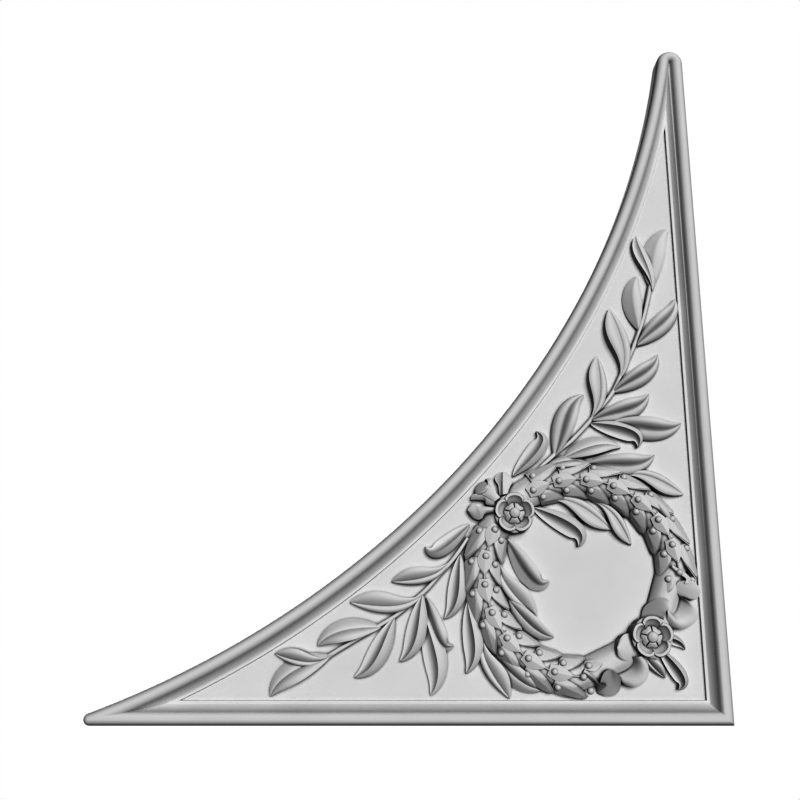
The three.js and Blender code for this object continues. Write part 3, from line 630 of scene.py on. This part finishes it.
def flower_shape(middle, top, depth):
    """Five cupped petals with rolled rims, each lapping over the next."""
    half = PETAL_TURN / 2
    pinch, lap = 0.2, 0.7

    def shape(u, v):
        turn = 180 * u
        aside = ((turn - FIRST_PETAL + half) % PETAL_TURN - half) / half
        outer = ROSETTE_RADIUS * (1 - pinch * abs(aside) ** 3)
        reach = outer * v
        from_side = (1 - abs(aside)) * radians(half) * reach
        side_rim = -0.4 - 0.9 * (outer - reach) - 2.4 * max(0.0, from_side - 0.5) ** 1.2
        height = max(cup_height(outer - reach, depth), side_rim - 0.9 * max(0.0, 1 - from_side / 0.3))
        height += lap * aside ** 3 * v
        at = radians(turn)
        return (middle[0] + reach * cos(at), middle[1] + reach * sin(at), top + min(max(height, -depth), 0))
    return shape


def inner_petal_shape(middle, turn, low):
    """A small petal round the button, rounded like a bead and flattened on top."""
    start, length, spread = 2.6, 4.0, 32

    def shape(u, v):
        reach = start + length * v
        at = radians(turn + u * spread)
        fall = 2.6 * max(0.0, (v - 0.25) / 0.75) ** 1.2 + 0.4 * abs(u) ** 3 + 1.4 * max(0.0, (v - 0.9) / 0.1)
        return (middle[0] + reach * cos(at), middle[1] + reach * sin(at), low - fall)
    return shape


def sepal_shape(middle, turn, low):
    """A pointed leaf that shows between two petals."""
    start, length, spread = ROSETTE_RADIUS - 3.2, 2.9, 22

    def shape(u, v):
        reach = start + length * v * (1 - 0.25 * u * u)
        at = radians(turn + u * spread)
        return (middle[0] + reach * cos(at), middle[1] + reach * sin(at), low + 0.5 * (1 - abs(u)) - 0.8 * v ** 3)
    return shape


def make_rosette(middle):
    top = GROUND + ROSETTE_HEIGHT
    gap = FIRST_PETAL - PETAL_TURN / 2
    flower = carved("flower", *FLOWER_GRID, flower_shape(middle, top, PETAL_CUP))
    inner = carved("inner_petal", *INNER_PETAL_GRID, inner_petal_shape(middle, gap, top - INNER_PETAL_DEPTH))
    sepal = carved("sepal", *SEPAL_GRID, sepal_shape(middle, gap, top - SEPAL_DEPTH))
    forms = [flower, inner, sepal]
    for i in range(1, PETALS):
        forms += [turned_copy(form, middle, PETAL_TURN * i) for form in (inner, sepal)]

    def button(u, v):
        reach, at = BUTTON_RADIUS * v, pi * u
        nipple = 0.3 * max(0.0, 1 - (reach / 1.4) ** 2)
        dome = 1.8 * sqrt(1 - (v * 0.98) ** 2)
        return (middle[0] + reach * cos(at), middle[1] + reach * sin(at), top - BUTTON_DEPTH + dome + nipple)
    forms.append(carved("button", *BUTTON_GRID, button))
    return forms


def make_band(left, right, fold):
    """A ribbon between two edges, bulging by the fold in between."""
    def shape(u, v):
        a, b = through(right, v), through(left, v)
        t = (u + 1) / 2
        place = a.lerp(b, t)
        return (place[0], place[1], GROUND + place[2] + fold * 4 * t * (1 - t))
    return carved("band", *BAND_GRID, shape)


def make_roll(middle, along, across, turned, low, high):
    """The rolled end of the bow's middle loop: an oval that leans away to the left."""
    way, aside = (cos(radians(turned)), sin(radians(turned))), (-sin(radians(turned)), cos(radians(turned)))

    def shape(u, v):
        a, b = along * v * cos(pi * u), across * v * sin(pi * u)
        lean = low + (high - low) * (1 - b / across) / 2
        height = lean + ROLL_DOME * sqrt(max(0.0, 1 - v ** 2))
        return (middle[0] + a * way[0] + b * aside[0], middle[1] + a * way[1] + b * aside[1], GROUND + height)
    return carved("roll", *ROLL_GRID, shape)


def make_carving():
    forms = [make_board(), make_stem(UPPER_STEM), make_stem(LEFT_STEM), make_core()]
    forms += [make_leaf(*leaf) for leaf in UPPER_LEAVES + LEFT_LEAVES + WREATH_LEAVES]
    forms += [make_band(*band) for band in BOW_BANDS + TAIL_BANDS]
    forms.append(make_roll(**BOW_ROLL))
    forms += make_rosette(UPPER_ROSETTE) + make_rosette(LOWER_ROSETTE)
    return joined("carved_relief_panel", smoothed(forms, RELIEF_ARRIS) + make_garland())


def grey(value):
    return (value, value, value, 1)


class Socket:
    """A shader value, with the sums that the finishes use."""

    def __init__(self, finish, link):
        self.finish, self.link = finish, link

    def sum(self, kind, *values):
        return self.finish.node("ShaderNodeMath", {"operation": kind}, dict(enumerate(values)))

    def __add__(self, other):
        return self.sum("ADD", self, other)

    def __radd__(self, other):
        return self.sum("ADD", other, self)

    def __rsub__(self, other):
        return self.sum("SUBTRACT", other, self)

    def __mul__(self, other):
        return self.sum("MULTIPLY", self, other)


class Finish:
    """A material, and its nodes by type, settings and inputs."""

    def __init__(self, name):
        self.material = bpy.data.materials.new(name)
        self.material.use_nodes = True
        self.tree = self.material.node_tree
        self.shader = self.tree.nodes["Principled BSDF"]
        self.here = self.node("ShaderNodeTexCoord", {}, {}, "Object")

    def fill(self, node, inputs):
        for key, value in inputs.items():
            if isinstance(value, Socket):
                self.tree.links.new(value.link, node.inputs[key])
            else:
                node.inputs[key].default_value = value

    def node(self, kind, settings, inputs, output=0):
        node = self.tree.nodes.new(kind)
        for key, value in settings.items():
            setattr(node, key, value)
        self.fill(node, inputs)
        return Socket(self, node.outputs[output])

    def mapped(self, scale):
        return self.node("ShaderNodeMapping", {}, {"Vector": self.here, "Scale": scale})

    def noise(self, place, scale, detail):
        return self.node("ShaderNodeTexNoise", {}, {"Vector": place, "Scale": scale, "Detail": detail}, "Fac")

    def fading(self, value, low, high, most):
        """The most where the value is at the low end or under it, down to nothing at the high end."""
        return self.node("ShaderNodeMapRange", {}, {0: value, 1: low, 2: high, 3: most, 4: 0.0})

    def blend(self, share, first, second):
        return self.node("ShaderNodeMix", {"data_type": "RGBA"}, {0: share, 6: first, 7: second}, 2)


def painted_wood(name, grain_way, painted_shade):
    """Pale grey paint, brushed thinly over carved wood, with painted shade: a near-black darkening in the grooves
    and corners.
    """
    finish = Finish(name)
    grain = finish.noise(finish.mapped(grain_way), scale=60.0, detail=4.0)
    cloud = finish.noise(finish.here, scale=30.0, detail=2.0)
    brush = finish.noise(finish.mapped(grain_way), scale=400.0, detail=2.0)
    # Painted shade: the paint is darkened towards near-black in concave creases (pointiness) and near corners
    # (ambient occlusion), where shade falls.
    hollow = finish.node("ShaderNodeNewGeometry", {}, {}, "Pointiness")
    corner = finish.node("ShaderNodeAmbientOcclusion", {"samples": 6, "only_local": True},
                         {"Distance": PAINTED_SHADE_REACH}, "AO")
    crease_shade = finish.fading(hollow, low=0.35, high=0.48, most=painted_shade)
    corner_shade = finish.fading(corner, low=0.3, high=0.8, most=painted_shade)
    paint = finish.blend(cloud, grey(DARKER_PAINT), grey(LIGHTER_PAINT))
    paint = finish.blend(1 - (1 - crease_shade) * (1 - corner_shade), paint, grey(PAINTED_SHADE_GREY))
    bump = finish.node("ShaderNodeBump", {}, {"Strength": 0.25, "Distance": BRUSH_DEPTH,
                                              "Height": grain + brush * 0.4}, "Normal")
    finish.fill(finish.shader, {"Base Color": paint, "Roughness": 0.8 + cloud * 0.1, "Normal": bump})
    return finish.material


def set_up_view():
    scene = bpy.context.scene
    camera = bpy.data.objects.new("camera", bpy.data.cameras.new("camera"))
    scene.collection.objects.link(camera)
    camera.location = CAMERA_PLACE
    camera.rotation_euler = (radians(90 + CAMERA_TILT), 0, 0)
    camera.data.sensor_fit = "HORIZONTAL"
    camera.data.angle = radians(FIELD_OF_VIEW)
    scene.camera = camera


def sun_from(name, way, softness, strength, shadow=True):
    """Even light from far off, with its softness in degrees."""
    lamp = bpy.data.lights.new(name, "SUN")
    lamp.energy = strength
    lamp.angle = radians(softness)
    lamp.use_shadow = shadow
    holder = bpy.data.objects.new(name, lamp)
    bpy.context.scene.collection.objects.link(holder)
    holder.rotation_euler = Vector(way).to_track_quat("Z", "Y").to_euler()


def set_up_light():
    """The suns, and a world that the camera sees as white but that lights the piece only faintly."""
    sun_from("key_light", FRONT_WAY, softness=6, strength=4.55, shadow=False)
    sun_from("soft_light", FRONT_WAY, softness=20, strength=1.85)
    sun_from("back_light", BACK_WAY, softness=30, strength=5.5)
    world = bpy.data.worlds.new("studio")
    bpy.context.scene.world = world
    world.use_nodes = True
    nodes, links = world.node_tree.nodes, world.node_tree.links
    shade = nodes["Background"]
    seen = nodes.new("ShaderNodeBackground")
    seen.inputs["Color"].default_value = grey(1)
    shade.inputs["Color"].default_value = grey(1)
    shade.inputs["Strength"].default_value = WORLD_STRENGTH
    path, blend = nodes.new("ShaderNodeLightPath"), nodes.new("ShaderNodeMixShader")
    links.new(path.outputs["Is Camera Ray"], blend.inputs[0])
    links.new(shade.outputs[0], blend.inputs[1])
    links.new(seen.outputs[0], blend.inputs[2])
    links.new(blend.outputs[0], nodes["World Output"].inputs["Surface"])
    bpy.context.scene.view_settings.view_transform = "Standard"
    bpy.context.scene.view_settings.gamma = GAMMA


def set_up_floor():
    bpy.ops.object.select_all(action="DESELECT")
    bpy.ops.mesh.primitive_plane_add(size=3, location=FLOOR_PLACE)
    floor = bpy.context.object
    floor.name = "floor"
    finish = Finish("pale_floor")
    finish.fill(finish.shader, {"Base Color": grey(FLOOR_GREY), "Roughness": 0.8,
                                "Emission Color": grey(FLOOR_GREY), "Emission Strength": FLOOR_GLOW})
    floor.data.materials.append(finish.material)
    floor.visible_diffuse = floor.visible_glossy = False


bpy.ops.object.select_all(action="DESELECT")
set_up_view()
set_up_light()
set_up_floor()

moulding = make_moulding()
# The moulding's creases and corners get a quarter of the painted shade.
moulding.data.materials.append(painted_wood("painted_moulding", grain_way=(1, 1, 1), painted_shade=0.25))
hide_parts("frame")
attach(moulding, "root")

carving = make_carving()
# The carving's creases and corners get most of the painted shade.
carving.data.materials.append(painted_wood("painted_carving", grain_way=(1, 1, 0.2), painted_shade=0.8))
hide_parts("carved_panel")
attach(carving, "root")
